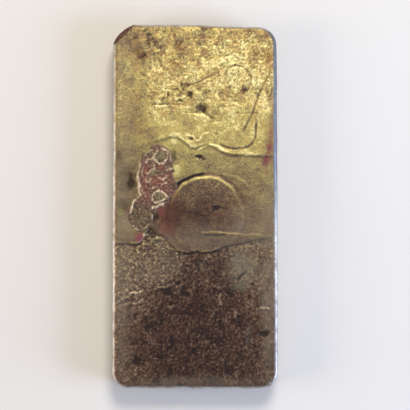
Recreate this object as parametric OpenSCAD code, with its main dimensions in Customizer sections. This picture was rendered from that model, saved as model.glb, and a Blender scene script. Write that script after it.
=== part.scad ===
// A crudely cast metal ingot: one solid bar, poured into an open mould and lying on the face that the
// mould's floor made. Its free surface is up, with the front of a second pour across it, the round button
// where the stream of metal fell, a crust of slag, a few blowholes and one corner clipped for an assay.
// The origin is the middle of the underside. +Z is up, +X runs across the bar, and +Y runs along it
// towards the end with the clipped corner.

/* [Bar] */
// Length of the bar, over its rim
bar_length = 117; // [84:1:160]
// Width of the bar, over its rim
bar_width = 53; // [44:0.5:80]
// Thickness from the underside to the second pour's surface
bar_thickness = 9.5; // [7:0.1:16]

/* [Mould] */
// Lean of the sides, which are closer together at the underside
draft_angle = 4; // [1:0.5:8]
// Radius of the four corners seen from above, at the rim
corner_radius = 5.5; // [4.5:0.5:9]
// Fillet round the underside, from the mould's floor
base_fillet = 0.9; // [0.4:0.1:1.5]
// Rounding round the top, where the metal drew itself in as it froze
rim_radius = 1.7; // [0.8:0.1:2.5]

/* [Assay cut] */
// Length of the clipped corner along the end, at the top
cut_along_end = 7.4; // [2:0.2:12]
// Length of the clipped corner along the side, at the top
cut_along_side = 7.4; // [2:0.2:12]
// Lean of the cut face, which is deeper at the top
cut_lean = 22; // [0:1:35]

/* [Second pour] */
// Height of its frozen front above the first pour
pour_step = 0.4; // [0.2:0.05:0.8]
// Where the front runs at the left side, from the bar's middle
front_left = -12.6; // [-25:0.1:-6]
// Where the front runs at the right side, from the bar's middle
front_right = -9.7; // [-25:0.1:-6]

/* [Button] */
// Diameter of the round button of metal
button_diameter = 26.2; // [16:0.2:28]
// Height of the button's rolled edge above the second pour
button_lip = 0.25; // [0.1:0.05:0.5]
// Height of the button's middle above its rolled edge
button_crown = 0.25; // [0.1:0.05:0.6]
// Distance of the button to the right of the bar's middle
button_x = 3.5; // [2:0.1:6]
// Distance of the button from the bar's middle, towards the clipped end
button_y = -3.5; // [-10:0.1:10]

/* [Slag crust] */
// Height of the crust above the second pour
crust_rise = 0.4; // [0.2:0.05:1]
// Length of the crust along the bar
crust_length = 29; // [20:0.5:36]
// Where the middle of the crust lies, from the bar's middle
crust_y = 5; // [-5:0.5:12]

/* [Blowholes] */
// How far a blowhole goes into the metal, in shares of its radius
blowhole_depth = 0.6; // [0.3:0.05:0.9]

/* [Hidden] */
$fn = 64;

METAL = [0.66, 0.56, 0.33];
ARC_STEPS = 6;    // straight steps in each rounding of the section
OVERLAP = 2;      // how deep what stands on the top runs into the bar
CLEAR = 20;       // how far a cutting shape runs past the bar

// Each lobe of the second pour's front: share of the half width, distance past the front, radius
LOBES = [[-0.10, 4.6, 6.4], [0.16, 3.1, 5.0]];
// How far the front falls back beside the lobes, where the first pour was hottest
FRONT_FALLBACK = 2.6;
// Where the front falls back, in shares of the half width
FALLBACK_FROM = -0.63;
FALLBACK_TO = 0.30;

// Outline of the crust: share of the half width, share of the crust's length from its middle
CRUST = [
    [-0.42, 0.50], [-0.30, 0.36], [-0.27, 0.14], [-0.22, -0.06], [-0.30, -0.22], [-0.42, -0.24],
    [-0.50, -0.38], [-0.64, -0.50], [-0.77, -0.42], [-0.79, -0.26], [-0.70, -0.12], [-0.72, 0.10],
    [-0.68, 0.26], [-0.56, 0.40]
];

// Each blowhole: share of the half width, share of the half length, radius
BLOWHOLES = [[0.07, 0.54, 1.5], [0.05, 0.27, 1.2], [-0.05, 0.36, 0.8], [0.85, -0.70, 1.1]];

half_width = bar_width / 2;
half_length = bar_length / 2;

// Middles of the corner radii, from the lower left corner and round against the clock
CORNERS = [for (turn = [[-1, -1], [1, -1], [1, 1], [-1, 1]])
    [turn[0] * (half_width - corner_radius), turn[1] * (half_length - corner_radius)]];

function arc(middle, radius, from, to) =
    [for (i = [0:ARC_STEPS])
        let (a = from + (to - from) * i / ARC_STEPS) middle + radius * [cos(a), sin(a)]];

// Direction that side i faces. Side i runs from corner i to the next one.
function facing(i) = 90 * (i - 1);

// Section of a side, from the middle of the corner radius outwards, where the metal stands lower by drop
function side_section(drop) =
    let (
        rim = [corner_radius - rim_radius - drop * tan(draft_angle), bar_thickness - drop - rim_radius],
        lean = rim_radius - base_fillet + (base_fillet - rim[1]) * sin(draft_angle),
        base = [rim[0] + lean / cos(draft_angle), base_fillet]
    )
    concat(
        [[0, 0]],
        arc(base, base_fillet, -90, -draft_angle),
        arc(rim, rim_radius, -draft_angle, 90),
        [[0, bar_thickness - drop]]
    );

// The straight side i of the bar, outside the line between two corner middles
module side(i, section) {
    next = CORNERS[(i + 1) % 4];
    translate([next[0], next[1], 0])
        rotate([90, 0, facing(i)])
            linear_extrude(norm(next - CORNERS[i])) polygon(section);
}

// The rounded corner i, from the side before it to the side after it
module corner(i, section) {
    translate([CORNERS[i][0], CORNERS[i][1], 0])
        rotate([0, 0, facing(i - 1)])
            rotate_extrude(angle = 90) polygon(section);
}

// The whole bar, filled to a level that is lower by drop
module filled_mould(drop) {
    section = side_section(drop);
    linear_extrude(bar_thickness - drop) polygon(CORNERS);
    for (i = [0:3]) {
        side(i, section);
        corner(i, section);
    }
}

// Seen from above, all that the second pour covers, with the lobes of its front
module second_pour_cover() {
    polygon([
        [-half_width - CLEAR, half_length + CLEAR],
        [-half_width - CLEAR, front_left],
        [FALLBACK_FROM * half_width, front_left],
        [FALLBACK_FROM * half_width, front_left + FRONT_FALLBACK],
        [FALLBACK_TO * half_width, front_left + FRONT_FALLBACK / 2],
        [half_width, front_right],
        [half_width + CLEAR, front_right],
        [half_width + CLEAR, half_length + CLEAR]
    ]);
    for (lobe = LOBES)
        translate([lobe[0] * half_width, front_left + lobe[1]]) circle(lobe[2]);
}

module first_pour() {
    difference() {
        filled_mould(pour_step);
        linear_extrude(bar_thickness + CLEAR) second_pour_cover();
    }
}

module second_pour() {
    intersection() {
        filled_mould(0);
        linear_extrude(bar_thickness + CLEAR) second_pour_cover();
    }
}

// A low dome with a rolled edge, where the stream of metal fell and froze last
module button() {
    edge = button_diameter / 2;
    dome_radius = (edge * edge + button_crown * button_crown) / (2 * button_crown);
    dome_middle = [0, bar_thickness + button_lip + button_crown - dome_radius];
    half_angle = asin(edge / dome_radius);
    translate([button_x, button_y, 0])
        rotate_extrude()
            polygon(concat(
                [[0, bar_thickness - OVERLAP], [edge, bar_thickness - OVERLAP]],
                arc(dome_middle, dome_radius, 90 - half_angle, 90)
            ));
}

// Slag and torn oxide skins that froze onto the metal
module crust() {
    translate([0, crust_y, bar_thickness - OVERLAP])
        linear_extrude(OVERLAP + crust_rise)
            polygon([for (p = CRUST) [p[0] * half_width, p[1] * crust_length]]);
}

// Round hollows left by gas that broke through the freezing surface of either pour
module blowholes() {
    for (hole = BLOWHOLES) {
        radius = hole[2];
        place = [hole[0] * half_width, hole[1] * half_length];
        surface = place[1] < front_left ? bar_thickness - pour_step : bar_thickness;
        translate([place[0], place[1], surface + (1 - blowhole_depth) * radius]) sphere(radius);
    }
}

// What the chisel took away at the upper left corner
module assay_cut() {
    end = [cut_along_end - half_width, half_length];
    side = [-half_width, half_length - cut_along_side];
    run = end - side;
    translate([side[0], side[1], bar_thickness])
        rotate([0, 0, atan2(run[1], run[0])])
            rotate([cut_lean, 0, 0])
                translate([-CLEAR, 0, -bar_thickness - CLEAR])
                    cube([norm(run) + 2 * CLEAR, CLEAR, bar_thickness + 2 * CLEAR]);
}

module ingot() {
    color(METAL)
        difference() {
            union() {
                first_pour();
                second_pour();
                button();
                crust();
            }
            blowholes();
            assay_cut();
        }
}

ingot();
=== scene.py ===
import math

import bmesh
import bpy
import numpy as np
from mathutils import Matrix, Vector, geometry, noise


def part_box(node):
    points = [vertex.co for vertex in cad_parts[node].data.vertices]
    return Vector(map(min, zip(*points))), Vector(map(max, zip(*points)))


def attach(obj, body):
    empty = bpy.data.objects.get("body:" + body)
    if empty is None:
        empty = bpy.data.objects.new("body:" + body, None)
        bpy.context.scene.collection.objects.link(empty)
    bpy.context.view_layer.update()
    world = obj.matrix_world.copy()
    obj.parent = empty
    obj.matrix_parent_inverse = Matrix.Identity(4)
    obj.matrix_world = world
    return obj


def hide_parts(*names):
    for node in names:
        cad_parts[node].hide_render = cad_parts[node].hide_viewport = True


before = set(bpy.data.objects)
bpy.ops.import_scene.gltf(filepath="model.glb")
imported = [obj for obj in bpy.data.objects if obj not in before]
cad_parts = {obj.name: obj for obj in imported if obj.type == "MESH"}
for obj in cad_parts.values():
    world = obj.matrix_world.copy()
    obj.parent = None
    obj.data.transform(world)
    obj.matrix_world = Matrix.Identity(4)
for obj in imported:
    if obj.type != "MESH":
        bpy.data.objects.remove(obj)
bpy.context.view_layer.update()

# ---------------------------------------------------------------------------------- The bar
# Crude gold alloy, poured twice into an open iron mould. The sides and the underside took the mould's
# shape, and the free surface froze in the air. Sizes are in mm, from the middle of the underside.
MM = 0.001
low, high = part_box("ingot")
half_width = (high.x - low.x) / 2 / MM
half_length = (high.y - low.y) / 2 / MM
button_top = high.z / MM
second_level = button_top - 0.5  # the second pour's surface
pour_step = 0.4  # how much lower the first pour lies
corner_radius = 5.5
rim_radius = 1.7  # where the metal drew itself in as it froze
base_fillet = 0.9
draft = math.radians(4)
skin_pitch = 0.3  # spacing of the mesh on the free surface

core_x = half_width - corner_radius
core_y = half_length - corner_radius
flat_reach = corner_radius - rim_radius
skin_reach = flat_reach + rim_radius * math.pi / 2  # over the rim to the bar's widest line

# The skin's grid: its rows and columns are bent round the four corners and rolled over the rim
columns = round(2 * (core_x + skin_reach) / skin_pitch)
rows = round(2 * (core_y + skin_reach) / skin_pitch)
across, along = np.meshgrid(
    np.linspace(-1, 1, columns + 1) * (core_x + skin_reach),
    np.linspace(-1, 1, rows + 1) * (core_y + skin_reach),
)
past_x = np.clip(np.abs(across) - core_x, 0, None) / skin_reach
past_y = np.clip(np.abs(along) - core_y, 0, None) / skin_reach
out_x = (np.sign(across) * past_x * np.sqrt(1 - past_y ** 2 / 2)).ravel()
out_y = (np.sign(along) * past_y * np.sqrt(1 - past_x ** 2 / 2)).ravel()
share_out = np.hypot(out_x, out_y)
facing_x = out_x / np.maximum(share_out, 1e-9)
facing_y = out_y / np.maximum(share_out, 1e-9)
turn = np.clip((share_out * skin_reach - flat_reach) / rim_radius, 0, math.pi / 2)
reach = np.minimum(share_out * skin_reach, flat_reach) + rim_radius * np.sin(turn)
drop = rim_radius * (1 - np.cos(turn))
x = np.clip(across.ravel(), -core_x, core_x) + facing_x * reach
y = np.clip(along.ravel(), -core_y, core_y) + facing_y * reach
level_share = np.cos(turn)  # how far the free surface's relief reaches over the rim


def rise(value, start, end):
    """0 up to start, 1 from end on, and a smooth climb between."""
    t = np.clip((value - start) / (end - start), 0, 1)
    return t * t * (3 - 2 * t)


def lumps(places, octaves):
    """Uneven values about 0 at these places."""
    return np.array([noise.fractal(place, 1.0, 2.0, octaves) for place in places.tolist()])


def grain(x, y, size, seed, octaves=3):
    """Uneven relief about 0, with lumps of this size in mm."""
    return lumps(np.column_stack((x / size, y / size, np.full(x.size, float(seed)))), octaves)


# The bar as it came out: the clipped end runs a little out of square, its right corner is rounder, and
# the sides wander by a few hundredths of their width
end_slant = 0.75
corner_ease = 0.2
y -= end_slant * rise(x, -2, 24) * rise(y, 34, half_length)
right_corner = rise(x, half_width - 8, half_width) * rise(y, half_length - 9, half_length - 1)
x -= corner_ease * right_corner
y -= corner_ease * right_corner
wander = 0.26 * np.abs(grain(x, y, 18, 3, 2)) + 0.1 * np.abs(grain(x, y, 3, 4, 2))
wander *= rise(share_out, 0, 1)
x -= wander * facing_x
y -= wander * facing_y

# Places bent by a small uneven pattern, for edges that are ragged
ragged_x = x + 0.8 * grain(x, y, 2.3, 11) + 0.35 * grain(x, y, 0.7, 13, 2)
ragged_y = y + 0.8 * grain(x, y, 2.3, 12) + 0.35 * grain(x, y, 0.7, 14, 2)

# Where each layer of metal ends, as lines from the left side to the right
UPPER_FRONT = [
    (-27, 17), (-20, 18), (-15, 19.5), (-11.4, 20.8), (-6.5, 22), (-3.2, 20), (-1, 18.2), (1.6, 19),
    (4.8, 19.1), (7.8, 17.6), (10.5, 16.3), (14.5, 16), (20.4, 15.8), (27, 15.6),
]
LOWER_FRONT = [
    (-27, -12.5), (-22, -12.4), (-18.4, -12.5), (-16.9, -10.8), (-14.5, -7.5), (-12, -9.4), (-9.2, -11),
    (-7.3, -13.4), (-4.2, -15.2), (-1, -15.2), (0.6, -14.7), (2.4, -15.2), (5.4, -14.9), (7.6, -14),
    (11, -12.8), (15, -12.2), (18, -11.4), (27, -10.6),
]
# How sharp each front is along the bar's width: mm over which it falls
UPPER_SOFTNESS = [(-27, 4), (-14, 3), (-9, 0.9), (-3, 0.5), (20, 0.4), (24, 1.6)]
LOWER_SOFTNESS = [(-27, 0.4), (-18, 0.4), (-15, 1.6), (-8, 1.0), (-5, 0.3), (7, 0.3), (10, 1.6), (27, 2.2)]
# How high each front's rolled lip stands along the bar's width
UPPER_LIP = [
    (-27, 0), (-14, 0.01), (-10, 0.06), (-3, 0.08), (0, 0.05), (7, 0.05), (9, 0.1), (20, 0.11), (24, 0.02),
]
LOWER_LIP = [
    (-27, 0.05), (-18, 0.08), (-15, 0.04), (-9, 0.02), (-4, 0.09), (6, 0.09), (10, 0.01), (27, 0),
]


def through(points, pieces=6):
    """A smooth line through these points, as short straight pieces."""
    held = np.array([points[0], *points, points[-1]], float)
    t = np.linspace(0, 1, pieces, endpoint=False)[:, None]
    runs = []
    for a, b, c, d in zip(held, held[1:], held[2:], held[3:]):
        bend = (2 * a - 5 * b + 4 * c - d) * t ** 2 + (3 * b - a - 3 * c + d) * t ** 3
        runs.append(b + 0.5 * ((c - a) * t + bend))
    return np.vstack([*runs, held[-1:]])


def past(front):
    """How many mm each point lies past a front, which itself wavers a little."""
    line = through(front)
    wavering = x + 0.4 * grain(x, y, 2.4, 16)
    return y - 0.3 * grain(x, y, 1.5, 15) - np.interp(wavering, line[:, 0], line[:, 1])


def across_bar(stops):
    """A value at each point, from (x, value) stops."""
    return np.interp(x, *np.array(stops, float).T)


def lip(distance, heights, length):
    """A rolled lip: steep on its free side, and a long slope back from its crest."""
    height = heights * (1 + 0.9 * grain(x, y, 3.2, 17, 2))
    return height * rise(distance, -0.1, 0.45) * np.exp(-np.clip(distance - 0.45, 0, None) / length)


def band(distance, width):
    """1 on a line, and less away from it."""
    return np.exp(-((distance / width) ** 2))


past_upper = past(UPPER_FRONT)
past_lower = past(LOWER_FRONT)
upper_softness = across_bar(UPPER_SOFTNESS)
lower_softness = across_bar(LOWER_SOFTNESS)
upper_lip = across_bar(UPPER_LIP)
lower_lip = across_bar(LOWER_LIP)
# 1 past each front: on the crumpled upper part, and on the whole second pour
upper = rise(past_upper, -upper_softness / 2, upper_softness / 2)
second = rise(past_lower, -lower_softness / 2, lower_softness / 2)

relief = 0.05 * grain(x, y, 16, 21, 2)
relief += 0.14 * upper - 0.06 * second
relief += lip(past_upper, upper_lip, 1.1) + lip(past_lower, lower_lip, 1.6)
# a thin undercut below each lip
relief -= 0.3 * upper_lip * band(past_upper + 0.35, 0.3)
relief -= 1.8 * lower_lip * band(past_lower + 0.25, 0.22)


def creases(x, y, size, seed):
    """Thin folds between smooth cells of this size in mm, from 0 in the cells to 1 on a fold."""
    bend = 0.35 * size * grain(x, y, size * 1.6, seed + 7)
    return 1 - np.clip(np.abs(grain(x + bend, y - bend, size, seed, 2)) / 0.35, 0, 1)


# Crumpled skin on the upper part, which is roughest at its far end
crumple = upper * (0.3 + 0.7 * rise(y + 3 * grain(x, y, 9, 30), 25, 36)) * (1 - 0.5 * rise(-x, 13, 18))
swirl_x = x + 1.5 * grain(x, y, 4.5, 27, 2)
swirl_y = y + 1.5 * grain(x, y, 4.5, 28, 2)
folds = creases(swirl_x, 1.5 * swirl_y, 2.6, 31)
small_folds = creases(1.4 * swirl_x, swirl_y - 0.5 * swirl_x, 1.2, 32)
flecks = grain(swirl_x - 0.4 * swirl_y, 1.6 * swirl_y, 0.8, 33, 4)
swells = 0.06 * grain(x, y, 2.8, 30, 2)
relief += crumple * (swells - 0.08 * rise(folds, 0.7, 1) - 0.05 * rise(small_folds, 0.6, 1))
relief += crumple * 0.09 * flecks
# The middle part is smooth, with drawn-out flow marks
flow_marks = 0.022 * grain(x, y * 2.2, 1.6, 34, 3) + 0.04 * grain(x, y * 2, 5, 35, 2)
relief += (second - upper) * flow_marks
# The first pour froze slowly, and its skin is rough all over, with a lace of thin worm-like ridges
lace_zone = rise(y - 0.36 * x + 2.5 * grain(x, y, 5, 63), -24.5, -20.5)
lace_zone *= 1 - rise(x + 2 * grain(x, y, 4, 64), -5, 1)
worms = rise(creases(x, y, 1.4, 36), 0.58, 1) * (0.3 + 0.7 * lace_zone)
worms *= 0.75 + 0.5 * rise(grain(x, y, 3, 65), -0.2, 0.3)
pebbles = grain(x, y, 0.8, 37, 4)
relief += (1 - second) * (0.08 * worms + 0.09 * pebbles + 0.07 * grain(x, y, 3.2, 38, 2))

# The round button where the stream of metal fell: its rolled edge is sharp at the upper left only
button_x, button_y, button_radius = 3.5, -3.5, 12.6
from_button = np.hypot(x - button_x, y - button_y)


def facing(angle):
    """Cosine between a point's direction from the button's middle and this one, in degrees."""
    run = (x - button_x) * math.cos(math.radians(angle)) + (y - button_y) * math.sin(math.radians(angle))
    return run / np.maximum(from_button, 0.5)


# rolled is 1 where its edge stands proud, and grooved is 1 where a deep groove runs outside that edge
rolled = rise(facing(100), 0.35, 0.8)
grooved = rise(facing(118), 0.88, 0.95)
button_foot = button_radius + 0.8 * rolled + 0.35 * grain(x, y, 4, 41, 2)
on_button = 1 - rise(from_button, button_foot - 1.3, button_foot)
relief += on_button * (0.1 + 0.12 * rolled) * second
relief += 0.2 * np.clip(1 - (from_button / button_radius) ** 2, 0, 1)
relief += 0.07 * rolled * band(from_button - button_foot + 1.2, 0.5)
relief -= (0.06 * rolled + 0.24 * grooved) * band(from_button - button_foot - 0.1, 0.4)
ripple_pitch = 0.8
ripples = rise(from_button, 4, 8) * (1 - rise(from_button, 10.3, 11.3)) * rise(facing(95), 0.3, 0.9)
ripple_wave = np.cos(2 * math.pi * (from_button + 0.9 * grain(x, y, 3, 42, 3)) / ripple_pitch)
relief += 0.016 * ripples * ripple_wave * (1 + 2 * grain(x, y, 2, 43))


def mark(field, x, y, points, width, amount, taper=0.12):
    """Adds a ridge along a line to a field, or a groove where the amount is negative."""
    line = through(points)
    reach = 3 * width
    near = (x > line[:, 0].min() - reach) & (x < line[:, 0].max() + reach)
    near &= (y > line[:, 1].min() - reach) & (y < line[:, 1].max() + reach)
    px, py = x[near], y[near]
    nearest = np.full(px.size, 1e9)
    passed = np.zeros(px.size)
    for i, (start, end) in enumerate(zip(line[:-1], line[1:])):
        run = end - start
        t = np.clip(((px - start[0]) * run[0] + (py - start[1]) * run[1]) / (run @ run + 1e-12), 0, 1)
        distance = np.hypot(px - start[0] - t * run[0], py - start[1] - t * run[1])
        closer = distance < nearest
        nearest[closer] = distance[closer]
        passed[closer] = (i + t[closer]) / (len(line) - 1)
    ends = rise(passed, -0.01, taper) * rise(1 - passed, -0.01, taper)
    swell = 0.85 + 0.4 * np.sin(29 * passed + 50 * width) * np.sin(11 * passed)
    field[near] += amount * ends * swell * band(nearest, width)


# Each line on the free surface: its points, its width and its height, or depth where it is negative
SKIN_LINES = [
    # cracks and folds of the upper part
    ([(24.6, 43.3), (22.3, 39.4), (20.7, 35.9), (19.7, 33.3), (18.4, 29.7), (16.5, 25.9),
      (15.2, 22.9)], 0.28, -0.16),
    ([(19.6, 28.4), (19.5, 24), (19, 21), (17.1, 18.8), (13.2, 18.1), (9.6, 18.7),
      (7.8, 19.7)], 0.3, -0.18),
    ([(-13.9, 32.4), (-8, 32.5), (-2.6, 32.3)], 0.2, -0.14),
    ([(18.4, 46.9), (22, 46.8)], 0.2, -0.1),
    ([(9.4, 41.5), (10.6, 44), (13.1, 45), (15.6, 44.2), (17.6, 42), (17.9, 39.6),
      (16.8, 36.9)], 0.24, -0.13),
    ([(-3, 38.4), (-1, 38.9), (1.4, 39.7), (3.4, 40.9), (5.9, 41.8)], 0.24, -0.16),
    ([(-3.6, 30), (-0.6, 29.7), (1.2, 29.9)], 0.2, -0.1),
    ([(14.2, 29.5), (17, 29.6), (20, 29.5)], 0.18, -0.07),
    ([(0.3, 17), (2.4, 18.5), (4.6, 19.2), (7.2, 18.7), (9.8, 17)], 0.3, 0.14),
    ([(-3.6, 22.6), (-1.2, 22.2), (1, 20.6), (2.2, 22.4), (4.4, 23.2)], 0.3, 0.1),
    # faint arc beyond the button
    ([(8.4, 10.2), (11.6, 9.5), (15, 7.8), (17.6, 5.4)], 0.35, 0.06),
    # the fold across the middle part
    ([(1.5, -8.7), (3.6, -8.9), (5.5, -8.7), (9.1, -8.9), (11.4, -9.2), (14.4, -9.3)], 0.3, 0.19),
    ([(13.2, -9.1), (16.4, -9.6), (18.8, -9.4), (22, -9.8)], 0.28, 0.09),
    ([(2.6, -9.7), (7, -9.8), (9.8, -9.4)], 0.26, -0.2),
    # curled edges by the slag
    ([(-14.1, -11.4), (-12, -10.4), (-9.4, -10.9)], 0.45, 0.16),
    ([(-11, -9.6), (-9.6, -10.4), (-8.6, -10.6)], 0.3, -0.18),
    ([(-16.8, -11.4), (-18.6, -12), (-20.6, -12.1)], 0.3, 0.06),
    ([(-16.9, -9.1), (-16.6, -10), (-16.8, -10.9)], 0.25, 0.16),
    # ridges of the first pour
    ([(-13.5, -27), (-11.6, -26.4), (-9, -26), (-6.6, -24.9), (-5.2, -23.6)], 0.38, 0.15),
    ([(-25.6, -31.8), (-23.8, -30.3), (-21.8, -29.5), (-20.4, -28.2), (-18.2, -28),
      (-16.6, -27.1)], 0.38, 0.17),
    ([(-23.2, -32.2), (-20.8, -31.2), (-18.6, -31.4), (-16.6, -30.2)], 0.42, 0.14),
    ([(-25.6, -28.6), (-23, -28), (-21.4, -26.8)], 0.35, 0.1),
    ([(3.2, -23.6), (4.6, -25.2), (6.8, -26), (9.4, -26.2)], 0.35, 0.1),
    ([(9.8, -13.2), (12.5, -12.9), (15, -12.5), (18.6, -11.4)], 0.22, -0.1),
    ([(-8.8, -32.4), (-5.5, -32.4)], 0.25, 0.1),
    ([(8.1, -27.8), (8, -30.4), (8.5, -32)], 0.4, 0.14),
    ([(20.2, -32.9), (24, -33)], 0.3, 0.22),
    ([(12.9, -33.6), (12.8, -36.4)], 0.4, 0.12),
    ([(13.4, -24.2), (15, -22.4), (16.6, -21)], 0.4, -0.14),
]
line_x = ragged_x * 0.25 + x * 0.75
line_y = ragged_y * 0.25 + y * 0.75
for points, width, amount in SKIN_LINES:
    mark(relief, line_x, line_y, points, width, amount)


def with_spots(field, x, y, spots):
    """The field with soft spots added: each is x, y, half width, half length, turn in degrees, amount."""
    for middle_x, middle_y, half_x, half_y, angle, amount in spots:
        cos = math.cos(math.radians(angle))
        sin = math.sin(math.radians(angle))
        along = ((x - middle_x) * cos + (y - middle_y) * sin) / half_x
        across = ((y - middle_y) * cos - (x - middle_x) * sin) / half_y
        field = field + amount * (1 - rise(np.hypot(along, across), 0.35, 1.3))
    return field


# Each hollow left by gas or by a piece of dross, as a spot whose amount is its depth
HOLLOWS = [
    (2.1, 31, 2.3, 1.7, 10, 0.4), (4.2, 29, 2.8, 0.8, -40, 0.12), (-0.9, 30.3, 2.4, 0.5, -10, 0.1),
    (1.3, 15.5, 1.2, 0.8, -15, 0.45), (2.6, 14.6, 0.9, 0.4, -20, 0.2), (-1.3, 21.3, 1.1, 0.45, -15, 0.3),
    (6.8, -0.9, 1.5, 0.9, 0, 0.22), (8.9, -1.2, 0.8, 0.4, 0, 0.16), (-4.5, 38.8, 0.8, 0.7, 0, 0.3),
    (-2.6, 38.8, 0.6, 0.5, 0, 0.25), (-6.8, 37.2, 0.7, 0.5, 30, 0.25), (-8.7, 35.7, 0.8, 0.4, 40, 0.25),
    (-10, 33.9, 0.6, 0.4, 20, 0.2), (-1.6, 35.2, 0.7, 1.3, 0, 0.3), (-4.8, 33.7, 0.7, 0.5, 0, 0.25),
    (15.8, 37.6, 1.2, 1.5, 0, 0.18), (1, 37.2, 0.5, 0.4, 0, 0.15), (4.8, 36.8, 0.5, 0.4, 0, 0.15),
    (8.1, 35.2, 0.5, 0.4, 0, 0.15), (12.8, 34, 0.6, 0.5, 0, 0.18), (9.7, 31.7, 0.5, 0.4, 0, 0.15),
    (7.1, 31, 0.5, 0.4, 0, 0.15), (14.2, 30.7, 0.5, 0.4, 0, 0.15), (11.3, 28.1, 0.5, 0.4, 0, 0.15),
    (12.6, 24.2, 0.4, 0.4, 0, 0.12), (6.8, 22.9, 0.4, 0.4, 0, 0.12), (19.7, 37.2, 0.6, 0.5, 0, 0.18),
    (22.6, 31.4, 0.6, 0.5, 0, 0.15), (-5.5, -24.9, 1.0, 0.8, 0, 0.2), (-3.2, -28.2, 1.8, 0.9, -35, 0.2),
    (-8.8, -27.6, 2.0, 1.2, 20, 0.16), (-7.4, -31.2, 1.0, 0.7, 0, 0.16),
    (-14.5, -38.5, 2.0, 1.2, 30, 0.16), (-18.7, -49.4, 1.2, 2.0, 10, 0.16),
    (-12.3, -48.5, 1.0, 0.6, 0, 0.14), (-12.4, -56, 1.8, 1.0, 20, 0.14), (-8.4, -45.6, 2.0, 0.8, 40, 0.16),
    (22.1, -40.8, 1.7, 1.2, 10, 0.3), (22.4, -31.3, 0.7, 0.5, -40, 0.25),
    (-16.9, -23.6, 0.9, 0.5, 40, 0.14), (4.6, -25.4, 1.4, 0.5, -15, 0.12), (4.3, -42.4, 1.2, 0.6, 0, 0.14),
    (17.2, -42.2, 0.8, 0.6, 0, 0.14), (9.6, -50.4, 0.8, 1.2, 0, 0.14), (-0.5, -34.4, 1.4, 0.5, 0, 0.14),
    (-19.4, -35.8, 0.8, 1.0, 0, 0.14),
]
hollow_rim = 1.35  # a raised rim reaches this much farther than its hollow
hollow = with_spots(0.0, ragged_x, ragged_y, HOLLOWS)
for middle_x, middle_y, half_x, half_y, angle, depth in HOLLOWS:
    rim = (middle_x, middle_y, hollow_rim * half_x, hollow_rim * half_y, angle, depth)
    relief += 0.2 * with_spots(0.0, ragged_x, ragged_y, [rim])
relief -= hollow

relief = np.minimum(relief, button_top - second_level - 0.05)
level = second_level - pour_step * (1 - second)
z = level - drop + relief * level_share

# What stands proud of its surroundings is drawn lighter, and what lies lower darker
proud_height = 0.055  # relief over its surroundings at which the full effect shows
sheet = relief.reshape(rows + 1, columns + 1)
blurred = sheet.copy()
for axis in (0, 1, 0, 1):
    blurred = sum(np.roll(blurred, shift, axis) for shift in (-2, -1, 0, 1, 2)) / 5
crest = np.clip((sheet - blurred) / proud_height, -1.2, 1.2).ravel() * level_share
crest *= 1.5 - 0.5 * second

# How clean the metal's skin is along the bar, from 0, dark with oxide, to 1, bright, as (y, share): partly
# oxide and partly painted light, brighter towards the far end where the lamp shows in the metal
CLEAN_AND_PAINTED_LIGHT_LEFT = [
    (-58, 0.41), (-50, 0.39), (-38, 0.35), (-28, 0.46), (-14, 0.47), (-6, 0.48), (2, 0.50), (12, 0.53),
    (20, 0.62), (30, 0.73), (44, 0.71), (58, 0.54),
]
CLEAN_AND_PAINTED_LIGHT_MIDDLE = [
    (-58, 0.23), (-44, 0.23), (-30, 0.25), (-18, 0.31), (-13, 0.38), (-4, 0.34), (4, 0.38), (9, 0.55),
    (15, 0.60), (18, 0.78), (32, 0.88), (44, 0.87), (58, 0.70),
]
CLEAN_AND_PAINTED_LIGHT_RIGHT = [
    (-58, 0.34), (-44, 0.30), (-34, 0.36), (-22, 0.44), (-10, 0.50), (4, 0.54), (15, 0.66), (18, 0.76),
    (30, 0.84), (42, 0.95), (50, 0.82), (58, 0.56),
]


def along_bar(stops):
    """A value at each point, from (y, value) stops."""
    return np.interp(ragged_y, *np.array(stops, float).T)


to_left = rise(-ragged_x, 8, 20)
to_right = rise(ragged_x, 6, 20)
# The skin's clean value, which below also takes painted highlights and painted shade
clean = along_bar(CLEAN_AND_PAINTED_LIGHT_MIDDLE) * (1 - to_left - to_right)
clean += along_bar(CLEAN_AND_PAINTED_LIGHT_LEFT) * to_left + along_bar(CLEAN_AND_PAINTED_LIGHT_RIGHT) * to_right
clean += (0.1 + 0.06 * upper) * grain(x, y, 5, 51) + 0.07 * grain(x, y, 1.5, 52)
clean -= 0.18 * rise(grain(x, y, 3.2, 53), 0.05, 0.45) * (1 - second)
clean += (0.26 * worms + 0.2 * lace_zone * grain(x, y, 2, 67)) * (1 - second)
clean -= 0.16 * rise(small_folds, 0.6, 1) * crumple
clean -= 0.24 * rise(grain(ragged_x, ragged_y, 4.2, 54), 0.06, 0.5) * crumple
clean += 0.12 * rise(grain(x, y, 1.3, 55), 0.1, 0.5) * crumple
clean += 0.18 * grain(x, y, 0.85, 56, 2) * (1 - 0.75 * second)

# Painted highlights on the skin's ridges and painted shade in its cracks and grooves, on the same lines as
# its relief
for points, width, amount in SKIN_LINES:
    mark(clean, x, y, points, width * 1.2, (1.8 if amount < 0 else 1.5) * amount)
# painted shade in the hollows
clean -= 0.6 * hollow
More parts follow.
